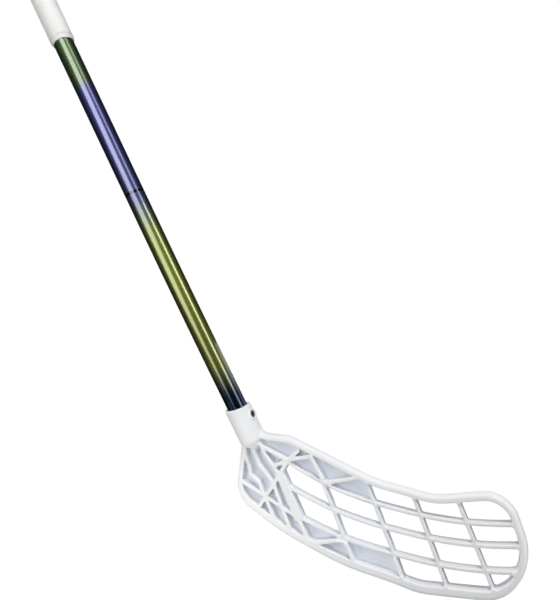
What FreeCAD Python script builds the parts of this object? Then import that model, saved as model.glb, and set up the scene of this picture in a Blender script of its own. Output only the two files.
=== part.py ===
import FreeCAD, Part
import math
import os

import Sketcher

# A floorball stick lying on its back: a hollow composite shaft with a slight tip curve, a moulded
# blade whose hosel is screwed over the shaft's lower end, a wound grip band and a butt plug.
# The origin is on the shaft axis at the middle of the grip. +X runs up the shaft to the butt end,
# +Z is up, the ribbed forehand face of the blade looks up and its toe points to -Y.

doc = FreeCAD.newDocument("floorball_stick")
sheet = doc.addObject("Spreadsheet::Sheet", "sizes")

# Driving dimensions in millimetres and degrees, with counts and shares named as such.
DRIVING = (
    ("shaft_diameter", 22.0),
    ("shaft_wall", 1.6),
    ("bare_length", 448.0),
    ("insert_depth", 34.0),
    ("tip_run", 63.0),
    ("tip_curve_radius", 9200.0),
    ("tip_curve_angle", 1.0),
    ("grip_diameter", 26.0),
    ("grip_length", 356.0),
    ("grip_turn_count", 11.0),
    ("seam_width", 1.2),
    ("seam_depth", 0.6),
    ("collar_length", 4.0),
    ("collar_lip", 0.5),
    ("sleeve_clearance", 0.05),
    ("flange_diameter", 25.6),
    ("flange_thickness", 6.0),
    ("flange_bevel", 1.2),
    ("plug_length", 24.0),
    ("plug_wall", 2.4),
    ("plug_clearance", 0.1),
    ("hosel_diameter", 29.0),
    ("hosel_length", 39.4),
    ("hosel_nose_length", 13.0),
    ("hosel_nose_diameter", 7.0),
    ("mouth_lean_angle", 7.0),
    ("socket_clearance", 0.1),
    ("screw_drop", 13.4),
    ("screw_turn", 5.5),
    ("screw_head_diameter", 7.8),
    ("screw_head_height", 2.0),
    ("screw_shank_diameter", 4.0),
    ("screw_shank_length", 7.0),
    ("screw_point_length", 1.5),
    ("screw_key_size", 3.0),
    ("screw_key_depth", 1.5),
    ("screw_sink", 0.7),
    ("screw_clearance", 0.1),
    ("boss_diameter", 12.6),
    ("boss_height", 0.9),
    ("blade_length", 278.0),
    ("blade_height", 110.0),
    ("lie_angle", 30.0),
    ("loft_angle", 10.0),
    ("roll_angle", 10.7),
    ("hook_angle", 8.0),
    ("rim_thickness", 11.0),
    ("rim_upper_width", 6.5),
    ("rim_lower_width", 9.0),
    ("rim_round", 3.6),
    ("bar_depth", 8.4),
    ("bar_width", 3.4),
    ("rib_width", 4.0),
    ("wide_rib_width", 9.5),
    ("bar_stub", 1.6),
    ("web_thickness", 2.0),
    ("cut_overrun", 5.0),
)
for row, (alias, value) in enumerate(DRIVING, start=1):
    sheet.set(f"A{row}", str(value))
    sheet.setAlias(f"A{row}", alias)
doc.recompute()

ORIGIN = FreeCAD.Vector(0, 0, 0)
AXIS_X = FreeCAD.Vector(1, 0, 0)
AXIS_Y = FreeCAD.Vector(0, 1, 0)
AXIS_Z = FreeCAD.Vector(0, 0, 1)


def size(alias):
    return float(sheet.get(alias))


# Places on the blade, as shares of its length towards the toe and of its height below the shaft's
# pivot point. Each outline corner also has the share of the length over which its sides run into the
# rounding arc, and the width of the rim on the side after it.
OUTLINE_SHARES = (
    (0.158, 0.115, 0.010, "rim_upper_width"),
    (0.505, -0.095, 0.045, "rim_upper_width"),
    (0.702, -0.095, 0.046, "rim_upper_width"),
    (0.928, 0.138, 0.085, "rim_upper_width"),
    (1.019, -0.367, 0.087, "rim_upper_width"),
    (0.949, -0.752, 0.067, "rim_lower_width"),
    (0.690, -0.960, 0.038, "rim_lower_width"),
    (0.420, -0.960, 0.080, "rim_lower_width"),
    (0.170, -0.833, 0.080, "rim_lower_width"),
    (-0.047, -0.620, 0.075, "rim_upper_width"),
    (-0.043, -0.055, 0, "rim_upper_width"),
    (-0.032, 0.055, 0, "rim_upper_width"),
    (0.018, 0.150, 0, "rim_upper_width"),
    (0.047, 0.086, 0.022, "rim_upper_width"),
)

# The most of a side that the roundings at its two ends may take.
SIDE_SHARE = 0.95

# The stretch of the length that is bent, where the top and bottom sides run straight.
HOOK_SHARES = (0.555, 0.648)

# Long bars are arcs through three points, cross bars are straight.
LONG_BAR_SHARES = (
    ((0.158, -0.130), (0.518, -0.303), (0.975, -0.095)),
    ((0.180, -0.372), (0.558, -0.495), (0.995, -0.250)),
    ((0.077, -0.515), (0.594, -0.702), (0.990, -0.462)),
)
CROSS_BAR_SHARES = (
    ((0.312, -0.250), (0.402, -0.660)),
    ((0.465, -0.110), (0.640, -0.930)),
    ((0.630, -0.110), (0.785, -0.850)),
    ((0.772, -0.020), (0.925, -0.735)),
)
# Ribs of the closed heel, named by where they run.
RIB_SHARES = {
    "diagonal": ((0.200, 0.000), (0.164, -0.110), (0.115, -0.377), (0.060, -0.650)),
    "hosel_front": ((0.000, 0.050), (0.046, -0.032), (0.066, -0.112), (0.135, -0.275)),
    "hosel_middle": ((-0.020, 0.020), (0.024, -0.135), (0.046, -0.231), (0.118, -0.378)),
    "hosel_back": ((-0.032, -0.040), (-0.020, -0.169), (0.006, -0.288), (0.010, -0.348),
                   (0.049, -0.397), (0.082, -0.530)),
    "heel": ((-0.040, -0.430), (0.085, -0.520)),
    "shoulder": ((0.058, -0.045), (0.164, -0.116)),
    "short": ((0.108, -0.200), (0.164, -0.116)),
    "top_first": ((0.164, -0.110), (0.250, -0.025)),
    "top_second": ((0.258, -0.035), (0.316, -0.240)),
    "top_third": ((0.316, -0.240), (0.445, -0.100)),
    "floor_first": ((0.081, -0.520), (0.150, -0.790)),
    "floor_second": ((0.112, -0.370), (0.218, -0.860)),
    "floor_third": ((0.216, -0.590), (0.285, -0.870)),
    "floor_fourth": ((0.280, -0.850), (0.404, -0.718)),
    "floor_fifth": ((0.396, -0.640), (0.462, -0.920)),
}
WIDE_RIB_SHARES = ((0.142, -0.290), (0.224, -0.620))
# The open part of the lattice, as corners of a polygon whose sides run under bars and ribs.
OPEN_SHARES = (
    (0.167, -0.130), (0.312, -0.262), (0.405, -0.308), (0.507, -0.312), (0.465, -0.120),
    (0.460, 0.400), (1.200, 0.400), (1.200, -1.200), (0.650, -1.200), (0.640, -0.920),
    (0.600, -0.718), (0.500, -0.725), (0.370, -0.708), (0.235, -0.645), (0.142, -0.290),
)


# Small helpers for the document's objects.
def bind(thing, expressions):
    for path, expression in expressions.items():
        thing.setExpression(path, expression)


def add_sketch(body, name, role):
    sketch = body.newObject("Sketcher::SketchObject", name)
    plane = [feature for feature in body.Origin.OriginFeatures if feature.Role == role][0]
    sketch.AttachmentSupport = (plane, [""])
    sketch.MapMode = "FlatFace"
    return sketch


def evaluate(expression):
    return float(sheet.evalExpression(expression))


def fix_point(sketch, geometry, vertex, name, across, up):
    # Ties one end of a line to the sketch's origin by two expressions.
    for kind, axis, expression in (("DistanceX", "x", across), ("DistanceY", "y", up)):
        value = evaluate(expression)
        index = sketch.addConstraint(Sketcher.Constraint(kind, -1, 1, geometry, vertex, value))
        sketch.renameConstraint(index, f"{name}_{axis}")
        sketch.setExpression(f"Constraints.{name}_{axis}", expression)


def draw_profile(sketch, corners):
    # A closed outline of straight lines with every corner bound to the sheet.
    points = [FreeCAD.Vector(evaluate(across), evaluate(up), 0) for across, up in corners]
    count = len(points)
    for index in range(count):
        sketch.addGeometry(Part.LineSegment(points[index], points[(index + 1) % count]), False)
    for index in range(count):
        sketch.addConstraint(Sketcher.Constraint("Coincident", index, 2, (index + 1) % count, 1))
    for index, (across, up) in enumerate(corners):
        fix_point(sketch, index, 1, f"corner_{index}", across, up)


def revolve(body, name, corners):
    # Turns a profile of (along the axis, radius) corners about the body's X axis.
    sketch = add_sketch(body, f"{name}_profile", "XZ_Plane")
    draw_profile(sketch, corners)
    turned = body.newObject("PartDesign::Revolution", name)
    turned.Profile = sketch
    turned.ReferenceAxis = (sketch, ["H_Axis"])
    turned.Angle = 360
    return turned


def add_cylinder(name, placement, radius, height):
    cylinder = doc.addObject("Part::Cylinder", name)
    bind(cylinder, {"Radius": radius, "Height": height})
    cylinder.Placement = placement
    return cylinder


def add_cut(name, base, tool):
    cut = doc.addObject("Part::Cut", name)
    cut.Base = base
    cut.Tool = tool
    return cut


def add_fuse(name, pieces):
    fuse = doc.addObject("Part::MultiFuse", name)
    fuse.Shapes = pieces
    return fuse


# Places along the shaft. The tip leans towards the toe by the tip curve's angle.
grip_end = size("grip_length") / 2
tip_angle = size("tip_curve_angle")
tip_radius = size("tip_curve_radius")
tip_arc = tip_radius * math.radians(tip_angle)
upper_run = size("grip_length") + size("collar_length") + size("bare_length") - size("tip_run") - tip_arc
tip_turn = FreeCAD.Rotation(AXIS_Z, tip_angle)
down_shaft = tip_turn.multVec(-AXIS_X)
tip_centre = FreeCAD.Vector(grip_end - upper_run, -tip_radius, 0)
tip_start = tip_centre + tip_turn.multVec(AXIS_Y * tip_radius)
mouth_point = tip_start + down_shaft * size("tip_run")
pivot_point = mouth_point + down_shaft * size("hosel_length")

# The blade's own frame: first axis towards the toe, second up the shaft side, third out of the face.
stick_turn = tip_turn * FreeCAD.Rotation(AXIS_X, size("roll_angle"))
blade_turn = (FreeCAD.Rotation(AXIS_Y, size("loft_angle"))
              * FreeCAD.Rotation(AXIS_Z, -90 - size("lie_angle")))
blade_placement = FreeCAD.Placement(pivot_point, stick_turn * blade_turn)
shaft_in_blade = blade_turn.inverted().multVec(AXIS_X)
screw_in_stick = FreeCAD.Rotation(AXIS_X, -size("screw_turn")).multVec(-AXIS_Y)
screw_in_blade = blade_turn.inverted().multVec(screw_in_stick)
screw_height = size("hosel_length") - size("screw_drop")
# The heads' tops lie sunk in a boss on the toe side, and in the plain hosel on the heel side.
heel_head_reach = size("hosel_diameter") / 2 - size("screw_sink")
toe_head_reach = heel_head_reach + size("boss_height")
mouth_in_stick = FreeCAD.Rotation(AXIS_Z, -size("mouth_lean_angle")).multVec(AXIS_X)
mouth_in_blade = blade_turn.inverted().multVec(mouth_in_stick)


def make_shaft_tube():
    body = doc.addObject("PartDesign::Body", "shaft_laminate")
    bind(body, {"Placement.Base.x": "sizes.grip_length / 2"})
    path = add_sketch(body, "shaft_path", "XY_Plane")
    bend = FreeCAD.Vector(-upper_run, 0, 0)
    centre = bend - AXIS_Y * tip_radius
    arc_end = centre + tip_turn.multVec(AXIS_Y * tip_radius)
    lower_run = size("tip_run") + size("insert_depth")
    path.addGeometry(Part.LineSegment(ORIGIN, bend), False)
    circle = Part.Circle(centre, AXIS_Z, tip_radius)
    quarter = math.pi / 2
    path.addGeometry(Part.ArcOfCircle(circle, quarter, quarter + math.radians(tip_angle)), False)
    path.addGeometry(Part.LineSegment(arc_end, arc_end + down_shaft * lower_run), False)
    path.addConstraint(Sketcher.Constraint("Coincident", 0, 1, -1, 1))
    path.addConstraint(Sketcher.Constraint("Horizontal", 0))
    path.addConstraint(Sketcher.Constraint("Tangent", 0, 2, 1, 1))
    path.addConstraint(Sketcher.Constraint("Tangent", 1, 2, 2, 1))
    lengths = (
        ("upper_run", Sketcher.Constraint("Distance", 0, upper_run),
         "sizes.grip_length + sizes.collar_length + sizes.bare_length - sizes.tip_run"
         " - sizes.tip_curve_radius * sizes.tip_curve_angle * pi / 180"),
        ("curve_radius", Sketcher.Constraint("Radius", 1, tip_radius), "sizes.tip_curve_radius"),
        ("curve_angle", Sketcher.Constraint("Angle", 1, math.radians(tip_angle)),
         "sizes.tip_curve_angle * 1 deg"),
        ("lower_run", Sketcher.Constraint("Distance", 2, lower_run), "sizes.tip_run + sizes.insert_depth"),
    )
    for name, constraint, expression in lengths:
        index = path.addConstraint(constraint)
        path.renameConstraint(index, name)
        path.setExpression(f"Constraints.{name}", expression)
    section = add_sketch(body, "shaft_section", "YZ_Plane")
    radii = (("outside", "sizes.shaft_diameter / 2"),
             ("inside", "sizes.shaft_diameter / 2 - sizes.shaft_wall"))
    for geometry, (name, expression) in enumerate(radii):
        radius = evaluate(expression)
        section.addGeometry(Part.Circle(ORIGIN, AXIS_Z, radius), False)
        section.addConstraint(Sketcher.Constraint("Coincident", geometry, 3, -1, 1))
        index = section.addConstraint(Sketcher.Constraint("Radius", geometry, radius))
        section.renameConstraint(index, name)
        section.setExpression(f"Constraints.{name}", expression)
    tube = body.newObject("PartDesign::AdditivePipe", "shaft_sweep")
    tube.Profile = section
    tube.Spine = (path, ["Edge1", "Edge2", "Edge3"])
    across = stick_turn.multVec(screw_in_stick)
    reach = size("shaft_diameter") / 2 + size("cut_overrun")
    centre = mouth_point + down_shaft * size("screw_drop")
    pilot = add_cylinder("pilot_holes", FreeCAD.Placement(centre - across * reach,
                                                          FreeCAD.Rotation(AXIS_Z, across)),
                         "sizes.screw_shank_diameter / 2 + sizes.screw_clearance",
                         "sizes.shaft_diameter + 2 * sizes.cut_overrun")
    shaft = add_cut("shaft_tube", body, pilot)
    shaft.Label = "shaft_tube"
    return shaft


def helix_path(radius, pitch, start, turns):
    # A helix about X drawn as one pair of tangent arcs for each quarter turn.
    def place(step):
        angle = step * math.pi / 2
        return FreeCAD.Vector(start + pitch * step / 4, radius * math.cos(angle), radius * math.sin(angle))

    def heading(step):
        angle = step * math.pi / 2
        around = 2 * math.pi * radius
        return FreeCAD.Vector(pitch, -around * math.sin(angle), around * math.cos(angle)).normalize()

    def arc(first, direction, last):
        chord = last - first
        inward = chord - direction * chord.dot(direction)
        inward.normalize()
        bend = chord.dot(chord) / (2 * chord.dot(inward))
        centre = first + inward * bend
        middle = (first - centre) + (last - centre)
        return Part.Arc(first, centre + middle.normalize() * bend, last).toShape()

    edges = []
    for step in range(4 * turns):
        first, last = place(step), place(step + 1)
        out, back = heading(step), heading(step + 1)
        span = last - first
        along = span.dot(out + back)
        spread = 2 * (1 - out.dot(back))
        reach = span.dot(span) / (along + math.sqrt(along * along + spread * span.dot(span)))
        joint = (first + out * reach + last - back * reach) * 0.5
        edges.append(arc(first, out, joint))
        edges.append(arc(last, -back, joint))
    return Part.Wire(Part.__sortEdges__(edges)), place(0), heading(0)


# Points on each turn of the seam at which its gap to the next turn is measured.
SEAM_SAMPLE_COUNT = 64


def make_grip_band():
    # A sleeve of band with one unbroken helical seam along its outside.
    along = FreeCAD.Rotation(AXIS_Z, AXIS_X)
    outside = add_cylinder("grip_outside", FreeCAD.Placement(-AXIS_X * grip_end, along),
                           "sizes.grip_diameter / 2", "sizes.grip_length")
    overrun = size("cut_overrun")
    inside = add_cylinder("grip_inside", FreeCAD.Placement(-AXIS_X * (grip_end + overrun), along),
                          "sizes.shaft_diameter / 2 + sizes.sleeve_clearance",
                          "sizes.grip_length + 2 * sizes.cut_overrun")
    sleeve = add_cut("grip_sleeve", outside, inside)
    turns = int(size("grip_turn_count"))
    pitch = size("grip_length") / turns
    path, start, heading = helix_path(size("grip_diameter") / 2, pitch, -grip_end - pitch / 2, turns + 1)
    outward = FreeCAD.Vector(0, start.y, start.z).normalize()
    aside = heading.cross(outward)
    depth = size("seam_depth")
    # A vee whose mouth stands as far out of the band as its point goes in.
    corners = [start + aside * size("seam_width") + outward * depth,
               start - aside * size("seam_width") + outward * depth, start - outward * depth]
    sweep = Part.BRepOffsetAPI.MakePipeShell(path)
    sweep.setBiNormalMode(AXIS_X)
    sweep.add(Part.makePolygon(corners + corners[:1]))
    sweep.build()
    sweep.makeSolid()
    seam = doc.addObject("Part::Feature", "grip_seam")
    seam.Shape = sweep.shape()
    points = path.discretize(SEAM_SAMPLE_COUNT * (turns + 1))
    least = min(first.distanceToPoint(last) for number, first in enumerate(points)
                for last in points[number + SEAM_SAMPLE_COUNT // 2:number + 2 * SEAM_SAMPLE_COUNT])
    print("grip seam, least gap between turns:", round(least - size("seam_width"), 2))
    band = add_cut("grip_band", sleeve, seam)
    # Unmerged, the outside is one face for each turn, and not a single face wound many times round.
    band.Refine = False
    band.Label = "grip_band"
    return band


def make_grip_collar():
    body = doc.addObject("PartDesign::Body", "grip_collar")
    bind(body, {"Placement.Base.x": "-sizes.grip_length / 2"})
    bore = "sizes.shaft_diameter / 2 + sizes.sleeve_clearance"
    revolve(body, "collar_turning", (
        ("0", bore),
        ("0", "sizes.grip_diameter / 2"),
        ("-sizes.collar_length", f"{bore} + sizes.collar_lip"),
        ("-sizes.collar_length", bore),
    ))
    return body


def make_end_cap():
    # A hollow plug under a flange whose top edge is bevelled.
    body = doc.addObject("PartDesign::Body", "end_cap")
    bind(body, {"Placement.Base.x": "sizes.grip_length / 2"})
    plug = "sizes.shaft_diameter / 2 - sizes.shaft_wall - sizes.plug_clearance"
    revolve(body, "cap_turning", (
        ("0", "0"),
        ("sizes.flange_thickness", "0"),
        ("sizes.flange_thickness", "sizes.flange_diameter / 2 - sizes.flange_bevel"),
        ("sizes.flange_thickness - sizes.flange_bevel", "sizes.flange_diameter / 2"),
        ("0", "sizes.flange_diameter / 2"),
        ("0", plug),
        ("-sizes.plug_length", plug),
        ("-sizes.plug_length", f"{plug} - sizes.plug_wall"),
        ("0", f"{plug} - sizes.plug_wall"),
    ))
    return body


def make_screw(name, outward, head_reach):
    # A socket screw along the body's X axis, whose head top is at X zero and whose point is inwards.
    body = doc.addObject("PartDesign::Body", name)
    seat = "-sizes.screw_head_height"
    shank = f"{seat} - sizes.screw_shank_length"
    turned = revolve(body, f"{name}_turning", (
        ("0", "0"),
        ("0", "sizes.screw_head_diameter / 2 - sizes.screw_key_depth / 4"),
        ("-sizes.screw_key_depth / 4", "sizes.screw_head_diameter / 2"),
        (seat, "sizes.screw_head_diameter / 2"),
        (seat, "sizes.screw_shank_diameter / 2"),
        (shank, "sizes.screw_shank_diameter / 2"),
        (f"{shank} - sizes.screw_point_length", "sizes.screw_shank_diameter / 4"),
        (f"{shank} - sizes.screw_point_length", "0"),
    ))
    doc.recompute()
    whole = turned.Shape.Volume
    key = add_sketch(body, f"{name}_key", "YZ_Plane")
    corner = f"sizes.screw_key_size / {math.sqrt(3)}"
    draw_profile(key, [(f"{corner} * {math.cos(math.radians(60 * step))}",
                        f"{corner} * {math.sin(math.radians(60 * step))}") for step in range(6)])
    pocket = body.newObject("PartDesign::Pocket", f"{name}_socket")
    pocket.Profile = key
    bind(pocket, {"Length": "sizes.screw_key_depth"})
    doc.recompute()
    if abs(pocket.Shape.Volume - whole) < Part.Precision.confusion():
        pocket.Reversed = True
    centre = mouth_point + down_shaft * size("screw_drop")
    direction = stick_turn.multVec(outward)
    body.Placement = FreeCAD.Placement(centre + direction * head_reach, FreeCAD.Rotation(AXIS_X, direction))
    return body


# The blade is drawn flat in its own frame. Its toe part is then swung up about the hook's axis.
hook_start, hook_finish = (share * size("blade_length") for share in HOOK_SHARES)
hook_sweep = hook_finish - hook_start
hook_radius = hook_sweep / math.radians(size("hook_angle"))
hook_axis = FreeCAD.Vector(hook_start, 0, hook_radius)
hook_turn = FreeCAD.Rotation(AXIS_Y, -size("hook_angle"))


def flat_point(share):
    return FreeCAD.Vector(share[0] * size("blade_length"), share[1] * size("blade_height"), 0)


def blade_point(share):
    # The same place on the hooked blade, seen square to the heel part.
    point = flat_point(share)
    past = point.x - hook_start
    if past <= 0:
        return point
    turn = min(past / hook_radius, math.radians(size("hook_angle")))
    beyond = max(past - hook_sweep, 0)
    point.x = hook_start + hook_radius * math.sin(turn) + beyond * math.cos(turn)
    return point


def line_meeting(first, along_first, second, along_second):
    # Where two lines of the blade's plane cross.
    cross = along_first.x * along_second.y - along_first.y * along_second.x
    gap = second - first
    return first + along_first * ((gap.x * along_second.y - gap.y * along_second.x) / cross)


def rounded_face(corners, radii):
    # A face with straight sides whose corners are rounded by tangent arcs.
    count = len(corners)
    edges = []
    ends = []
    for index, corner in enumerate(corners):
        back = (corners[index - 1] - corner).normalize()
        ahead = (corners[(index + 1) % count] - corner).normalize()
        if radii[index] == 0:
            ends.append((corner, corner))
            continue
        half = back.getAngle(ahead) / 2
        reach = radii[index] / math.tan(half)
        start, finish = corner + back * reach, corner + ahead * reach
        inward = (back + ahead).normalize()
        middle = corner + inward * (radii[index] / math.sin(half) - radii[index])
        edges.append(Part.Arc(start, middle, finish).toShape())
        ends.append((start, finish))
    for index in range(count):
        edges.append(Part.makeLine(ends[index][1], ends[(index + 1) % count][0]))
    return Part.Face(Part.Wire(Part.__sortEdges__(edges)))


def corner_reaches():
    # How far each corner's rounding runs along its sides, drawn in where a side is too short for two.
    corners = [flat_point(row) for row in OUTLINE_SHARES]
    wanted = [row[2] * size("blade_length") for row in OUTLINE_SHARES]
    count = len(corners)
    fits = []
    for index, corner in enumerate(corners):
        ahead = (index + 1) % count
        room = corner.distanceToPoint(corners[ahead]) * SIDE_SHARE
        taken = wanted[index] + wanted[ahead]
        fits.append(min(room / taken, 1) if taken else 1)
    return [reach * min(fits[index - 1], fits[index]) for index, reach in enumerate(wanted)]


def outline_face(place, inset_share, margin):
    # The blade's outline, moved inwards by a share of each side's rim width and a margin.
    corners = [place(row) for row in OUTLINE_SHARES]
    reaches = corner_reaches()
    widths = [size(row[3]) * inset_share + margin for row in OUTLINE_SHARES]
    count = len(corners)
    sides = []
    for index, corner in enumerate(corners):
        along = (corners[(index + 1) % count] - corner).normalize()
        inward = FreeCAD.Vector(along.y, -along.x, 0)
        sides.append((corner + inward * widths[index], along))
    moved = []
    radii = []
    for index, reach in enumerate(reaches):
        before, after = sides[index - 1], sides[index]
        moved.append(line_meeting(before[0], before[1], after[0], after[1]))
        turn = before[1].x * after[1].y - before[1].y * after[1].x
        width = (widths[index - 1] + widths[index]) / 2
        half = (-before[1]).getAngle(after[1]) / 2
        radius = reach * math.tan(half)
        radii.append(max(radius - width, 0) if turn < 0 else radius + width if radius else 0)
    return rounded_face(moved, radii)


def strip(points, width):
    # A straight or bent strip of even width, with mitred corners, run on by half its width.
    points = list(points)
    lead = (points[0] - points[1]).normalize() * (width / 2)
    tail = (points[-1] - points[-2]).normalize() * (width / 2)
    points[0] = points[0] + lead
    points[-1] = points[-1] + tail
    sides = {1: [], -1: []}
    for index, point in enumerate(points):
        before = (point - points[index - 1]) if index else (points[1] - point)
        after = (points[index + 1] - point) if index + 1 < len(points) else before
        before.normalize()
        after.normalize()
        bisector = before + after
        bisector.normalize()
        stretch = width / 2 / bisector.dot(before)
        for sign in sides:
            square = FreeCAD.Vector(-bisector.y, bisector.x, 0) * sign
            sides[sign].append(point + square * stretch)
    corners = sides[1] + sides[-1][::-1]
    return Part.Face(Part.makePolygon(corners + corners[:1]))


def arc_strip(points, width):
    middle = Part.Arc(*points).toShape().Curve
    centre = middle.Center
    edges = []
    ends = []
    for offset in (-width / 2, width / 2):
        moved = [centre + (point - centre).normalize() * (middle.Radius + offset) for point in points]
        edges.append(Part.Arc(*moved).toShape())
        ends.append((moved[0], moved[-1]))
    edges.append(Part.makeLine(ends[0][0], ends[1][0]))
    edges.append(Part.makeLine(ends[0][1], ends[1][1]))
    return Part.Face(Part.Wire(Part.__sortEdges__(edges)))


def hook_band(back, front):
    # The layer between two heights above the blade's hooked middle surface.
    span = 2 * size("blade_length")
    ends = []
    edges = []
    for offset in (back, front):
        heel = FreeCAD.Vector(-span, 0, offset)
        start = FreeCAD.Vector(hook_start, 0, offset)
        half_turn = FreeCAD.Rotation(AXIS_Y, -size("hook_angle") / 2)
        middle = hook_axis + half_turn.multVec(start - hook_axis)
        finish = hook_axis + hook_turn.multVec(start - hook_axis)
        toe = finish + hook_turn.multVec(AXIS_X * span)
        edges += [Part.makeLine(heel, start), Part.Arc(start, middle, finish).toShape()]
        edges.append(Part.makeLine(finish, toe))
        ends.append((heel, toe))
    edges += [Part.makeLine(*pair) for pair in zip(*ends)]
    section = Part.Face(Part.Wire(Part.__sortEdges__(edges)))
    section.translate(-AXIS_Y * span)
    return section.extrude(AXIS_Y * (2 * span))


def hook_layer(flat, back, front):
    prism = flat.copy()
    prism.translate(-AXIS_Z * size("blade_height"))
    return prism.extrude(AXIS_Z * (2 * size("blade_height"))).common(hook_band(back, front))


def make_plate():
    # A flat heel plate, a bend and a flat toe plate in one, with every long edge rounded.
    thickness = AXIS_Z * size("rim_thickness")
    flat = outline_face(flat_point, 0, 0)
    flat.translate(-thickness / 2)
    span = 2 * size("blade_length")
    corner = FreeCAD.Vector(hook_start, -span, 0) - thickness / 2
    toe_side = Part.makePlane(span, 2 * span, corner)
    heel = flat.cut(toe_side)
    toe = flat.common(Part.makePlane(span, 2 * span, corner + AXIS_X * hook_sweep))
    toe.translate(-AXIS_X * hook_sweep)
    toe.rotate(hook_axis, AXIS_Y, -size("hook_angle"))
    seam = [edge for edge in heel.Edges
            if abs(edge.BoundBox.XMin - hook_start) < Part.Precision.confusion()]
    bend = seam[0].extrude(thickness).revolve(hook_axis, AXIS_Y, -size("hook_angle"))
    plate = heel.extrude(thickness).fuse([bend, toe.extrude(hook_turn.multVec(thickness))])
    plate = plate.removeSplitter().Solids[0]
    return plate.makeFillet(size("rim_round"), long_edges(plate))


def long_edges(plate):
    # The sharp edges that run round the plate, and not those that stand across its thickness.
    chosen = []
    for edge in plate.Edges:
        faces = plate.ancestorsOfType(edge, Part.Face)
        place = edge.valueAt((edge.FirstParameter + edge.LastParameter) / 2)
        normals = [face.normalAt(*face.Surface.parameter(place)) for face in faces]
        across = abs(edge.tangentAt(edge.FirstParameter).z) > math.cos(math.radians(45))
        if not across and normals[0].getAngle(normals[1]) > math.radians(45):
            chosen.append(edge)
    return chosen


def make_lattice():
    # The rounded plate, less the cells between its bars and ribs.
    half = size("rim_thickness") / 2
    proud = half + size("cut_overrun")
    bars = [arc_strip([blade_point(share) for share in shares], size("bar_width"))
            for shares in LONG_BAR_SHARES]
    bars += [strip([blade_point(share) for share in shares], size("bar_width"))
             for shares in CROSS_BAR_SHARES]
    bars += [strip([blade_point(share) for share in shares], size("rib_width"))
             for shares in RIB_SHARES.values()]
    wide_rib = strip([blade_point(share) for share in WIDE_RIB_SHARES], size("wide_rib_width"))
    diagonal = strip([blade_point(share) for share in RIB_SHARES["diagonal"]], size("rib_width"))
    bars.append(wide_rib)
    corners = [blade_point(share) for share in OPEN_SHARES]
    opening = Part.Face(Part.makePolygon(corners + corners[:1]))
    cuts = []
    for cell in outline_face(blade_point, 1, 0).cut(bars).Faces:
        is_open = opening.isInside(cell.CenterOfMass, Part.Precision.confusion(), True)
        floor = -proud if is_open else size("web_thickness") - half
        cuts.append(hook_layer(cell, floor, proud))
    inside = outline_face(blade_point, 1, size("bar_stub")).cut([wide_rib, diagonal])
    wider = opening.makeOffset2D(size("bar_width") / 2)
    cuts.append(hook_layer(inside.common(wider), size("bar_depth") / 2, proud))
    cuts.append(hook_layer(inside.common(opening), -proud, -size("bar_depth") / 2))
    return make_plate().cut(cuts)


def make_blade():
    lattice = doc.addObject("Part::Feature", "blade_lattice")
    lattice.Shape = make_lattice()
    along = FreeCAD.Rotation(AXIS_Z, shaft_in_blade)
    across = FreeCAD.Rotation(AXIS_Z, screw_in_blade)
    nose = doc.addObject("Part::Cone", "hosel_nose")
    bind(nose, {"Radius1": "sizes.hosel_nose_diameter / 2", "Radius2": "sizes.hosel_diameter / 2",
                "Height": "sizes.hosel_nose_length"})
    nose.Placement = FreeCAD.Placement(-shaft_in_blade * size("hosel_nose_length"), along)
    overrun = size("cut_overrun")
    sleeve = add_cylinder("hosel_sleeve", FreeCAD.Placement(ORIGIN, along), "sizes.hosel_diameter / 2",
                          "sizes.hosel_length + sizes.cut_overrun")
    centre = shaft_in_blade * screw_height
    boss = add_cylinder("screw_boss", FreeCAD.Placement(centre, across), "sizes.boss_diameter / 2",
                        "sizes.hosel_diameter / 2 + sizes.boss_height")
    blank = add_fuse("blade_blank", [lattice, nose, sleeve, boss])
    mouth = add_cylinder("hosel_mouth", FreeCAD.Placement(shaft_in_blade * size("hosel_length"),
                                                          FreeCAD.Rotation(AXIS_Z, mouth_in_blade)),
                         "sizes.hosel_diameter", "sizes.hosel_diameter")
    floor_height = size("hosel_length") - size("insert_depth")
    socket = add_cylinder("hosel_socket", FreeCAD.Placement(shaft_in_blade * floor_height, along),
                          "sizes.shaft_diameter / 2 + sizes.socket_clearance",
                          "sizes.insert_depth + sizes.cut_overrun")
    reach = size("hosel_diameter") / 2 + overrun
    holes = add_cylinder("screw_holes", FreeCAD.Placement(centre - screw_in_blade * reach, across),
                         "sizes.screw_shank_diameter / 2 + sizes.screw_clearance",
                         "sizes.hosel_diameter + 2 * sizes.cut_overrun")
    cuts = [mouth, socket, holes]
    for side, sign, head in (("toe", 1, toe_head_reach), ("heel", -1, heel_head_reach)):
        outward = screw_in_blade * sign
        seat = centre + outward * (head - size("screw_head_height"))
        cuts.append(add_cylinder(
            f"{side}_screw_seat", FreeCAD.Placement(seat, FreeCAD.Rotation(AXIS_Z, outward)),
            "sizes.screw_head_diameter / 2 + sizes.screw_clearance",
            "sizes.screw_head_height + sizes.screw_sink + sizes.cut_overrun"))
    blade = add_cut("blade", blank, add_fuse("blade_cuts", cuts))
    blade.Label = "blade"
    blade.Placement = blade_placement
    return blade


pieces = {
    "shaft_tube": make_shaft_tube(),
    "grip_band": make_grip_band(),
    "grip_collar": make_grip_collar(),
    "end_cap": make_end_cap(),
    "blade": make_blade(),
    "toe_side_screw": make_screw("toe_side_screw", screw_in_stick, toe_head_reach),
    "heel_side_screw": make_screw("heel_side_screw", -screw_in_stick, heel_head_reach),
}
doc.recompute()

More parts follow.
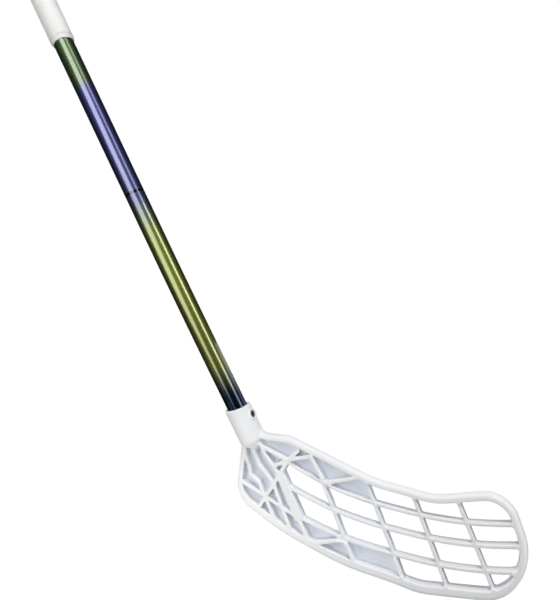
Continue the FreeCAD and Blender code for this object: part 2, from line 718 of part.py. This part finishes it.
for thing in doc.Objects:
    faults = {"Invalid", "Error"} & set(thing.State)
    if faults:
        raise RuntimeError(f"{thing.Name}: {sorted(faults)}")
for name, piece in pieces.items():
    if piece.Shape.isNull() or not piece.Shape.isValid():
        raise RuntimeError(f"{name}: no valid shape")
    print(name, "solids", len(piece.Shape.Solids), "volume", round(piece.Shape.Volume, 1))

os.makedirs("parts", exist_ok=True)
for name, piece in pieces.items():
    piece.Shape.exportStep(os.path.join("parts", f"{name}.step"))
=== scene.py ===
import math

import bmesh
import bpy
import numpy as np
from mathutils import Matrix, Vector


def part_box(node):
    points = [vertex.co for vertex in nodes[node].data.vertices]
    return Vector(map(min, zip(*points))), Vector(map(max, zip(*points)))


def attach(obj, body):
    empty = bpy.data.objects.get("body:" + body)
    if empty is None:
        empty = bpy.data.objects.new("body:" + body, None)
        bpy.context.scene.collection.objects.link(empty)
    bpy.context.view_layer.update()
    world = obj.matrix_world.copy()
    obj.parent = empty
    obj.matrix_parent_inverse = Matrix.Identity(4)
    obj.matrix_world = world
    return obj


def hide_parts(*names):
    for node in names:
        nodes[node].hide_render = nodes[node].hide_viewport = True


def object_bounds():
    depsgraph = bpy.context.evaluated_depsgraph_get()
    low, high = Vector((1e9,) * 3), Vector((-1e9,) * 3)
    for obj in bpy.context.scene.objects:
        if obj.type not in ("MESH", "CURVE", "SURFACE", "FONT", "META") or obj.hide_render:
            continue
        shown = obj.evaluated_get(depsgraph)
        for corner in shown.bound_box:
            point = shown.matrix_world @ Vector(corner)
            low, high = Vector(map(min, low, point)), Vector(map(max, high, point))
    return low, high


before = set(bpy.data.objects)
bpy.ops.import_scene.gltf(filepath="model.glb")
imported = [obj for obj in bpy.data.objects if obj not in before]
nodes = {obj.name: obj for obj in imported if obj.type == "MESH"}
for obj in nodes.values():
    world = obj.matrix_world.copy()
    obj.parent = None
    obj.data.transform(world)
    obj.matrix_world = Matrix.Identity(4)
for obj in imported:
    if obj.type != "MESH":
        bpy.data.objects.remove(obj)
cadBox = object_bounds()
print("frame loaded:", ", ".join(sorted(nodes)))

mm = 0.001


# places on the stick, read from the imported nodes
def middleOf(node):
    low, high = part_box(node)
    return (low + high) / 2


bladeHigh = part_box("blade")[1]
gripLow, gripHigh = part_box("grip_band")
screwMiddle = (middleOf("toe_side_screw") + middleOf("heel_side_screw")) / 2
mouth = Vector((bladeHigh.x, screwMiddle.y, screwMiddle.z))      # middle of the hosel's open end
floorLevel = cadBox[0][2]


# shader maths: a Sig is a socket, and an expression on Sigs adds Math nodes
class Sig:
    def __init__(self, tree, socket=None):
        self.tree = tree
        self.socket = socket

    def node(self, kind, settings=None, sockets=None, out=0):
        made = self.tree.nodes.new(kind)
        for name, value in (settings or {}).items():
            if name == "stops":
                ramp = made.color_ramp
                while len(ramp.elements) < len(value):
                    ramp.elements.new(1)
                for element, (place, colour) in zip(ramp.elements, value):
                    element.position = place
                    element.color = (*colour, 1)
            else:
                setattr(made, name, value)
        for name, value in (sockets or {}).items():
            if isinstance(value, Sig):
                self.tree.links.new(value.socket, made.inputs[name])
            else:
                made.inputs[name].default_value = value
        return Sig(self.tree, made.outputs[out])

    def math(self, operation, first, second=0.0):
        return self.node("ShaderNodeMath", {"operation": operation}, {0: first, 1: second})

    def __add__(self, other):
        return self.math("ADD", self, other)

    def __sub__(self, other):
        return self.math("SUBTRACT", self, other)

    def __mul__(self, other):
        return self.math("MULTIPLY", self, other)

    def __truediv__(self, other):
        return self.math("DIVIDE", self, other)

    def __rsub__(self, other):
        return self.math("SUBTRACT", other, self)

    def __rtruediv__(self, other):
        return self.math("DIVIDE", other, self)

    def __abs__(self):
        return self.math("ABSOLUTE", self)

    __radd__ = __add__
    __rmul__ = __mul__

    def dot(self, other):
        return self.node("ShaderNodeVectorMath", {"operation": "DOT_PRODUCT"}, {0: self, 1: other},
                         out="Value")

    def band(self, low, high):
        return self.node("ShaderNodeMapRange", {"interpolation_type": "SMOOTHSTEP"},
                         {"Value": self, "From Min": low, "From Max": high})

    def mixColour(self, first, second):
        # a Mix node takes its two colours at sockets 6 and 7 and gives their mix at 2
        first, second = [end if isinstance(end, Sig) else (*end, 1) for end in (first, second)]
        return self.node("ShaderNodeMix", {"data_type": "RGBA"}, {"Factor": self, 6: first, 7: second},
                         out=2)


def newMaterial(name, fixed):
    # a Principled surface: fixed holds the sockets that are the same all over
    material = bpy.data.materials.new(name)
    material.use_nodes = True
    tree = material.node_tree
    shader = tree.nodes["Principled BSDF"]
    for socket, value in fixed.items():
        shader.inputs[socket].default_value = value
    place = Sig(tree).node("ShaderNodeTexCoord", out="Object")
    return material, shader, place


def feed(shader, socket, value):
    value.tree.links.new(value.socket, shader.inputs[socket])


def noise(place, scale, detail=3.0, roughness=0.5):
    return place.node("ShaderNodeTexNoise", {"noise_dimensions": "3D"},
                      {"Vector": place, "Scale": scale, "Detail": detail, "Roughness": roughness})


def bump(height, strength, distance):
    return height.node("ShaderNodeBump", {},
                       {"Height": height, "Strength": strength, "Distance": distance})


# white satin moulding of the blade, with painted bluish shade deep in the pockets, but not on its back
bladeLook = dict(
    colour=(0.785, 0.788, 0.795), cloudy=(0.76, 0.765, 0.775), cloudScale=28, cloudEdges=(0.3, 0.7),
    pocket=(0.78, 0.82, 0.885), pocketDepth=(3 * mm, 8 * mm), pocketFacing=(-0.7, -0.3), alikeDigits=2,
    rough=0.55, roughSwing=0.10, lightBend=1.5, shine=0.3,
    grainScale=2600, grainDetail=2, grainStrength=0.25, grainDepth=0.02 * mm)


def bladeFront():
    # the flat front of the blade's heel: its direction and its distance from the origin along it
    mesh = nodes["blade"].data
    count = len(mesh.polygons)
    normals, centres, areas = np.empty(count * 3), np.empty(count * 3), np.empty(count)
    mesh.polygons.foreach_get("normal", normals)
    mesh.polygons.foreach_get("center", centres)
    mesh.polygons.foreach_get("area", areas)
    normals, centres = normals.reshape(-1, 3), centres.reshape(-1, 3)
    # of the directions that look up, the one with the largest area of faces
    alike = normals.round(bladeLook["alikeDigits"])
    kinds, members = np.unique(alike, axis=0, return_inverse=True)
    spread = np.bincount(members.ravel(), areas) * (kinds[:, 2] > 0)
    chosen = members.ravel() == spread.argmax()
    way = normals[chosen].mean(axis=0)
    way /= np.linalg.norm(way)
    return Vector(way), float((centres[chosen] @ way).max())


def bladeMaterial():
    look = bladeLook
    material, shader, place = newMaterial("bladePlastic", {
        "IOR": look["lightBend"], "Specular IOR Level": look["shine"]})
    cloud = noise(place, look["cloudScale"]).band(*look["cloudEdges"])
    grain = noise(place, look["grainScale"], look["grainDetail"])
    frontWay, frontReach = bladeFront()
    surface = place.node("ShaderNodeNewGeometry", out="True Normal")
    # painted shade: faces lying deep below the front and facing it are tinted bluish, as the shaded pockets
    # look
    deep = (frontReach - place.dot(frontWay)).band(*look["pocketDepth"])
    pocket = deep * surface.dot(frontWay).band(*look["pocketFacing"])
    white = cloud.mixColour(look["colour"], look["cloudy"])
    feed(shader, "Base Color", pocket.mixColour(white, look["pocket"]))
    feed(shader, "Roughness", cloud * look["roughSwing"] + look["rough"])
    feed(shader, "Normal", bump(grain, look["grainStrength"], look["grainDepth"]))
    return material


# lacquered shaft: metallic colours under a clear coat, by distance up from the hosel's mouth
# gloss gives the coat's weight where the dark foot ends and where the coat is full
shaftLook = dict(
    bands=((0.000, (0.020, 0.038, 0.075)), (0.014, (0.022, 0.040, 0.080)), (0.050, (0.165, 0.185, 0.026)),
           (0.150, (0.245, 0.270, 0.036)), (0.214, (0.215, 0.265, 0.048)), (0.256, (0.080, 0.095, 0.23)),
           (0.330, (0.072, 0.078, 0.25)), (0.384, (0.072, 0.078, 0.25)), (0.398, (0.090, 0.150, 0.055)),
           (0.460, (0.095, 0.165, 0.060))),
    gloss=((0.006, 0.25), (0.050, 1.0)), darkRough=0.22,
    ringPlace=0.261, ringWidth=0.0018, ringCoreShare=0.7, ringColour=(0.004, 0.004, 0.006),
    rough=0.40, roughSwing=0.03, flakeScale=5200, flakeDetail=1,
    metal=1.0, coatRough=0.10, coatBend=2.0, edgeTint=(0.02, 0.02, 0.03))


def shaftMaterial():
    look = shaftLook
    material, shader, place = newMaterial("shaftLacquer", {
        "Metallic": look["metal"], "Specular Tint": (*look["edgeTint"], 1),
        "Coat Roughness": look["coatRough"], "Coat IOR": look["coatBend"]})
    along = place.node("ShaderNodeSeparateXYZ", {}, {"Vector": place}, out="X") - mouth.x
    reach = look["bands"][-1][0]
    stops = [(where / reach, colour) for where, colour in look["bands"]]
    tone = place.node("ShaderNodeValToRGB", {"stops": stops}, {"Fac": along / reach})
    fromRing = abs(along - look["ringPlace"])
    ring = 1 - fromRing.band(look["ringWidth"] * look["ringCoreShare"], look["ringWidth"])
    feed(shader, "Base Color", ring.mixColour(tone, look["ringColour"]))
    (darkEnd, darkCoat), (brightStart, brightCoat) = look["gloss"]
    bright = along.band(darkEnd, brightStart)
    flake = noise(place, look["flakeScale"], look["flakeDetail"])
    smooth = bright * (look["rough"] - look["darkRough"]) + look["darkRough"]
    feed(shader, "Roughness", flake * look["roughSwing"] + smooth)
    feed(shader, "Coat Weight", bright * (brightCoat - darkCoat) + darkCoat)
    return material


# matte off-white band, with the cap in the same finish and a whiter finishing ring
gripLook = dict(
    colour=(0.755, 0.755, 0.737), worn=(0.70, 0.70, 0.675), cloudScale=60, cloudEdges=(0.35, 0.7),
    rough=0.62, roughSwing=0.12, lightBend=1.48, shine=0.35,
    grainScale=1500, grainDetail=4, grainRoughness=0.6, grainStrength=0.35, grainDepth=0.06 * mm)
collarLook = dict(gripLook, colour=(0.83, 0.83, 0.815), worn=(0.80, 0.80, 0.78))


def gripMaterial(name, look):
    material, shader, place = newMaterial(name, {
        "IOR": look["lightBend"], "Specular IOR Level": look["shine"]})
    cloud = noise(place, look["cloudScale"]).band(*look["cloudEdges"])
    grain = noise(place, look["grainScale"], look["grainDetail"], look["grainRoughness"])
    feed(shader, "Base Color", cloud.mixColour(look["colour"], look["worn"]))
    feed(shader, "Roughness", cloud * look["roughSwing"] + look["rough"])
    feed(shader, "Normal", bump(grain, look["grainStrength"], look["grainDepth"]))
    return material


# black oxide screws, rubbed bare in spots whose beige is partly wear and partly a painted glint
screwLook = dict(colour=(0.05, 0.05, 0.048), rubAndGlint=(0.42, 0.39, 0.30), rubGlintScale=700, rubGlintDetail=4,
                 rubGlintEdges=(0.45, 0.75), metal=1.0, rough=0.32, roughSwing=0.2)


def screwMaterial():
    look = screwLook
    material, shader, place = newMaterial("screwSteel", {"Metallic": look["metal"]})
    # beige spots: partly rubbed-bare wear, partly a painted glint on the dark head
    rubAndGlint = noise(place, look["rubGlintScale"], look["rubGlintDetail"]).band(*look["rubGlintEdges"])
    feed(shader, "Base Color", rubAndGlint.mixColour(look["colour"], look["rubAndGlint"]))
    feed(shader, "Roughness", rubAndGlint * look["roughSwing"] + look["rough"])
    return material


def dress(obj, material):
    obj.data.materials.clear()
    obj.data.materials.append(material)


def newPiece(name, mesh, node):
    obj = bpy.data.objects.new(name, mesh)
    bpy.context.scene.collection.objects.link(obj)
    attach(obj, "root")
    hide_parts(node)
    return obj


def applyModifier(obj, kind, **settings):
    modifier = obj.modifiers.new(kind.lower(), kind)
    for name, value in settings.items():
        setattr(modifier, name, value)
    bpy.context.view_layer.update()
    graph = bpy.context.evaluated_depsgraph_get()
    mesh = bpy.data.meshes.new_from_object(obj.evaluated_get(graph))
    obj.modifiers.clear()
    obj.data = mesh


# the blade with its moulded edges softened
bladeSkin = dict(voxel=0.65 * mm, smoothing=0.5, rounds=4)


def makeBlade():
    blade = newPiece("bladeMoulding", nodes["blade"].data.copy(), "blade")
    applyModifier(blade, "REMESH", mode="VOXEL", voxel_size=bladeSkin["voxel"], use_smooth_shade=True)
    applyModifier(blade, "SMOOTH", factor=bladeSkin["smoothing"], iterations=bladeSkin["rounds"])
    dress(blade, bladeMaterial())
    blade.data.shade_smooth()
    print("blade moulding:", len(blade.data.polygons), "faces")


# the wound band, drawn along its helix so that each overlap is a clean step
bandWrap = dict(turns=11, spareTurns=1, stepsPerTurn=72, across=12, lap=0.55 * mm, crown=0.12 * mm,
                edgeShare=0.12, wall=1.6 * mm, smoothEnd=(45 * mm, 80 * mm), weld=0.01 * mm)


def wound(place):
    # the pressed lower end is smooth, and further up the overlaps show in full
    low, high = bandWrap["smoothEnd"]
    share = min(max((place - low) / (high - low), 0), 1)
    return share * share * (3 - 2 * share)


def bandSurface():
    # the band's outer face, with a spare turn past each end
    radius = (gripHigh.z - gripLow.z) / 2
    pitch = (gripHigh.x - gripLow.x) / bandWrap["turns"]
    steps, across, spare = bandWrap["stepsPerTurn"], bandWrap["across"], bandWrap["spareTurns"]
    rows = (bandWrap["turns"] + 2 * spare) * steps
    shares = np.linspace(0, 1, across)
    # each turn lies on the one below: high at its leading edge, low where the next one covers it
    fall = bandWrap["lap"] * (1 - np.sqrt(np.clip((1 - shares) / bandWrap["edgeShare"], 0, 1)))
    swell = bandWrap["crown"] * (1 - np.sin(np.pi * shares))
    surface = bmesh.new()
    grid = []
    for row in range(rows + 1):
        angle = 2 * math.pi * row / steps
        start = gripLow.x - spare * pitch + pitch * row / steps
        line = []
        for share, sink in zip(shares, fall + swell):
            place = start + share * pitch
            far = radius - sink * wound(place - gripLow.x)
            line.append(surface.verts.new((place, far * math.cos(angle), far * math.sin(angle))))
        grid.append(line)
    for row in range(rows):
        for column in range(across - 1):
            surface.faces.new((grid[row][column], grid[row][column + 1],
                               grid[row + 1][column + 1], grid[row + 1][column]))
    # the step up to the next turn
    for row in range(rows - steps):
        above = row + steps
        surface.faces.new((grid[row][-1], grid[above][0], grid[above + 1][0], grid[row + 1][-1]))
    bmesh.ops.remove_doubles(surface, verts=surface.verts, dist=bandWrap["weld"])
    return surface


def trimEnds(surface):
    for end, side in ((gripLow.x, -1), (gripHigh.x, 1)):
        geometry = surface.verts[:] + surface.edges[:] + surface.faces[:]
        bmesh.ops.bisect_plane(surface, geom=geometry, plane_co=(end, 0, 0), plane_no=(side, 0, 0),
                               clear_outer=True)
    # the cuts leave slivers where they pass close to a corner
    bmesh.ops.remove_doubles(surface, verts=surface.verts, dist=bandWrap["weld"])
    bmesh.ops.dissolve_degenerate(surface, edges=surface.edges, dist=bandWrap["weld"])
    bmesh.ops.recalc_face_normals(surface, faces=surface.faces)


def makeBand():
    surface = bandSurface()
    trimEnds(surface)
    mesh = bpy.data.meshes.new("gripBand")
    surface.to_mesh(mesh)
    surface.free()
    band = newPiece("gripBand", mesh, "grip_band")
    applyModifier(band, "SOLIDIFY", thickness=bandWrap["wall"], offset=-1)       # the wall grows inwards
    dress(band, gripMaterial("gripRubber", gripLook))
    band.data.shade_smooth()
    print("grip band:", len(band.data.polygons), "faces")


makeBlade()
makeBand()
dress(nodes["shaft_tube"], shaftMaterial())
dress(nodes["grip_collar"], gripMaterial("collarRubber", collarLook))
dress(nodes["end_cap"], gripMaterial("capPlastic", gripLook))
for screwName in ("toe_side_screw", "heel_side_screw"):
    dress(nodes[screwName], screwMaterial())
print("materials set")


# camera: it looks square to the shaft from the toe's side, and the shaft leans in the image
# focal is in pixels, and footReach is how far up from the mouth the shaft comes nearest to the camera
view = dict(imageWidth=560, imageHeight=600, focal=485, mouthPixel=(237.2, 405.3), distance=0.5389,
            elevation=57.3, lean=25.3, sensor=36.0, nearest=0.01, footReach=0.086)
elevation, lean = math.radians(view["elevation"]), math.radians(view["lean"])
shaftWay = Vector((1, 0, 0))
backWay = Vector((0, -math.cos(elevation), math.sin(elevation)))
acrossWay = shaftWay.cross(backWay)      # to the image's right, square to the shaft
rightWay = acrossWay * math.cos(lean) - shaftWay * math.sin(lean)
upWay = backWay.cross(rightWay)


def placeCamera():
    offX = (view["mouthPixel"][0] - view["imageWidth"] / 2) / view["focal"] * view["distance"]
    offY = (view["mouthPixel"][1] - view["imageHeight"] / 2) / view["focal"] * view["distance"]
    eye = mouth - rightWay * offX + upWay * offY + backWay * view["distance"]
    data = bpy.data.cameras.new("photoCamera")
    data.sensor_width = view["sensor"]
    data.lens = view["focal"] / view["imageHeight"] * view["sensor"]
    data.clip_start = view["nearest"]
    camera = bpy.data.objects.new("photoCamera", data)
    turn = Matrix((rightWay, upWay, backWay)).transposed().to_4x4()
    camera.matrix_world = Matrix.Translation(eye) @ turn
    bpy.context.scene.collection.objects.link(camera)
    bpy.context.scene.camera = camera


# long soft boxes beside the shaft: turns are degrees about it from the camera's side and reach is metres
# up it from the foot, each at the box's lower and its upper end
neutral, warm = (1.0, 1.0, 1.0), (1.0, 0.995, 0.98)
cool, cooler, bluish = (0.98, 0.99, 1.0), (0.97, 0.985, 1.0), (0.88, 0.93, 1.0)
softBoxes = {
    "broadBox": dict(turns=(-38, -16), reach=(-0.06, 0.50), away=1.1, wide=0.75, glow=2.5, tint=neutral),
    "broadTop": dict(turns=(-14, 18), reach=(0.50, 1.30), away=1.1, wide=0.70, glow=3.2, tint=neutral),
    "narrowBox": dict(turns=(60, 55), reach=(-0.46, 0.77), away=2.0, wide=0.56, glow=5.0, tint=cool),
    "narrowTop": dict(turns=(55, 55), reach=(0.52, 1.30), away=1.1, wide=0.34, glow=1.9, tint=cool),
}
# square boxes, offset and aimed from the hosel's mouth; groundBox is what pale ground would send back up
smallBoxes = {
    "topBox": dict(offset=(2.91, -1.50, 0.20), aim=(0, -0.05, 0), size=0.48, glow=66, tint=neutral),
    "heelBox": dict(offset=(-0.14, 0.15, 0.24), aim=(-0.06, 0, 0), size=0.15, glow=5.6, tint=warm),
    "gripBox": dict(offset=(0.72, 0.17, 0.11), aim=(0.47, 0, 0), size=0.14, glow=3.0, tint=neutral),
    "footBox": dict(offset=(-1.31, -0.48, 0.25), aim=(0, 0, 0), size=0.42, glow=7.5, tint=neutral),
    "sideBox": dict(offset=(-1.0, -1.6, 0.5), aim=(0, 0, 0), size=0.8, glow=3.4, tint=cooler),
    "groundBox": dict(offset=(-0.14, -0.13, -0.27), aim=(-0.14, -0.12, 0), size=0.42, glow=1.0, tint=bluish),
    "backBox": dict(offset=(1.75, 1.0, -0.25), aim=(0.5, 0, 0), size=0.6, glow=9.0, tint=neutral),
}


def addBox(name, box, place, turned, long, wide):
    data = bpy.data.lights.new(name, "AREA")
    data.shape = "RECTANGLE"
    data.size, data.size_y = long, wide
    data.energy = box["glow"] * math.pi * long * wide      # the same brightness at any size
    data.color = box["tint"]
    light = bpy.data.objects.new(name, data)
    light.matrix_world = Matrix.Translation(place) @ turned.transposed().to_4x4()
    bpy.context.scene.collection.objects.link(light)


def placeLights():
    foot = mouth + shaftWay * view["footReach"]
    for name, box in softBoxes.items():
        ends = []
        for turn, reach in zip(box["turns"], box["reach"]):
            way = backWay * math.cos(math.radians(turn)) + acrossWay * math.sin(math.radians(turn))
            ends.append(foot + shaftWay * reach + way * box["away"])
        middle = (ends[0] + ends[1]) / 2
        along = (ends[1] - ends[0]).normalized()
        facing = middle - foot
        facing = (facing - along * facing.dot(along)).normalized()
        turned = Matrix((along, facing.cross(along), facing))
        addBox(name, box, middle, turned, (ends[1] - ends[0]).length, box["wide"])
    for name, box in smallBoxes.items():
        facing = (Vector(box["offset"]) - Vector(box["aim"])).normalized()
        side = shaftWay.cross(facing).normalized()
        turned = Matrix((side.cross(facing), side, facing))
        addBox(name, box, mouth + Vector(box["offset"]), turned, box["size"], box["size"])


roomLight = dict(colour=(0.85, 0.90, 1.0), strength=0.025)


def placeRoom():
    world = bpy.data.worlds.new("studioRoom")
    world.use_nodes = True
    background = world.node_tree.nodes["Background"]
    background.inputs["Color"].default_value = (*roomLight["colour"], 1)
    background.inputs["Strength"].default_value = roomLight["strength"]
    bpy.context.scene.world = world
    bpy.context.scene.view_settings.view_transform = "Standard"


# a round floor that bends up into a wall, so that it is as pale behind the stick from any side
floorLook = dict(flat=3.0, bend=1.5, wall=6.0, gap=0.4 * mm, arcSteps=12, sides=64,
                 colour=(0.9, 0.9, 0.9), seenGlow=1.13)


def floorMaterial():
    material = bpy.data.materials.new("paleFloor")
    material.use_nodes = True
    tree = material.node_tree
    glow = Sig(tree).node("ShaderNodeEmission", {}, {
        "Color": (*floorLook["colour"], 1), "Strength": floorLook["seenGlow"]})
    tree.links.new(glow.socket, tree.nodes["Material Output"].inputs["Surface"])
    return material


def placeFloor():
    flat, bend, sides = floorLook["flat"], floorLook["bend"], floorLook["sides"]
    level = floorLevel - floorLook["gap"]
    quarter = np.linspace(0, math.pi / 2, floorLook["arcSteps"] + 1)
    outline = [(flat + bend * math.sin(turn), bend * (1 - math.cos(turn))) for turn in quarter]
    outline.append((flat + bend, floorLook["wall"]))
    corners = []
    for far, high in outline:
        for side in range(sides):
            angle = 2 * math.pi * side / sides
            corners.append((mouth.x + far * math.cos(angle), far * math.sin(angle), level + high))
    faces = [tuple(range(sides))]
    for row in range(len(outline) - 1):
        for side in range(sides):
            low, after = row * sides + side, row * sides + (side + 1) % sides
            faces.append((low, after, after + sides, low + sides))
    mesh = bpy.data.meshes.new("studioFloor")
    mesh.from_pydata(corners, [], faces)
    mesh.materials.append(floorMaterial())
    floor = bpy.data.objects.new("studioFloor", mesh)
    bpy.context.scene.collection.objects.link(floor)
    # seen by the camera alone, so that it stands in no box's light and doesn't show in the lacquer
    for rays in ("diffuse", "glossy", "transmission", "volume_scatter", "shadow"):
        setattr(floor, "visible_" + rays, False)


placeCamera()
placeLights()
placeRoom()
placeFloor()
print("camera, lights and floor placed")
